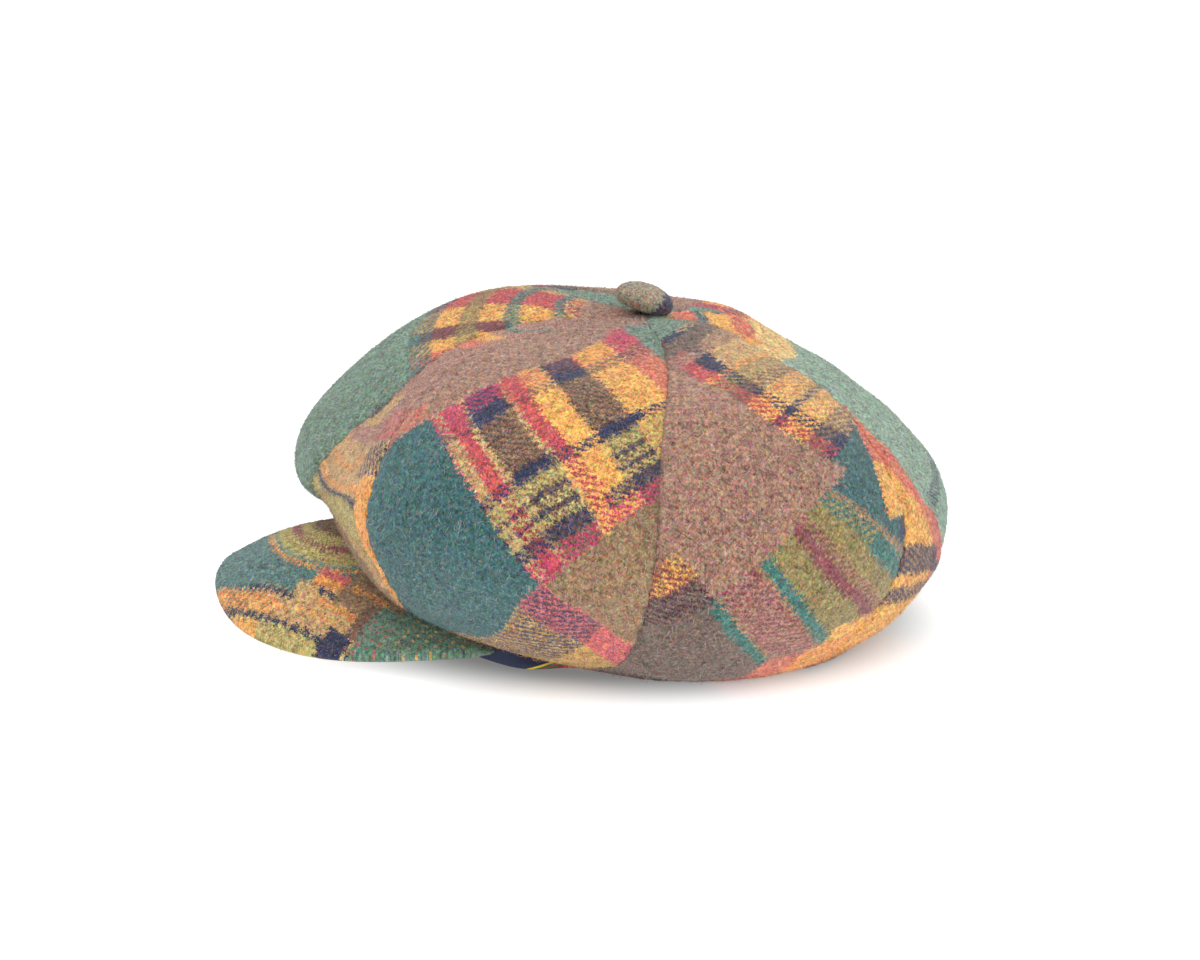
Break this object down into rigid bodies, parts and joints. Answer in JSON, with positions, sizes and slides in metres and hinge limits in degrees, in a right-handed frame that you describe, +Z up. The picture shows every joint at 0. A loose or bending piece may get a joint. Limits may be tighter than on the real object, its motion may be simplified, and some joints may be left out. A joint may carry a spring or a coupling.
{
  "type": "baker boy cap",
  "caption": "Soft paneled baker boy cap of brushed plaid wool with a covered peak, a covered button and a ribbon sweatband, resting on a table.",
  "frame": {"origin": "middle of the cap's outline in plan, at the height of the table that it rests on", "axes": "+Z up, the peak points along -Y, the wearer's left is +X"},
  "size_m": [0.3006, 0.3178, 0.1473],
  "materials": {
    "wool": "brushed patchwork plaid wool in green, taupe, mustard, coral and navy",
    "ribbon": "navy grosgrain ribbon with a narrow yellow, green and red stripe"
  },
  "bodies": {
    "root": {"panel_front_left": "wool", "panel_side_front_left": "wool", "panel_side_back_left": "wool", "panel_back_left": "wool", "panel_back_right": "wool", "panel_side_back_right": "wool", "panel_side_front_right": "wool", "panel_front_right": "wool", "button": "wool", "peak": "wool", "sweatband": "ribbon"}
  },
  "joints": []
}
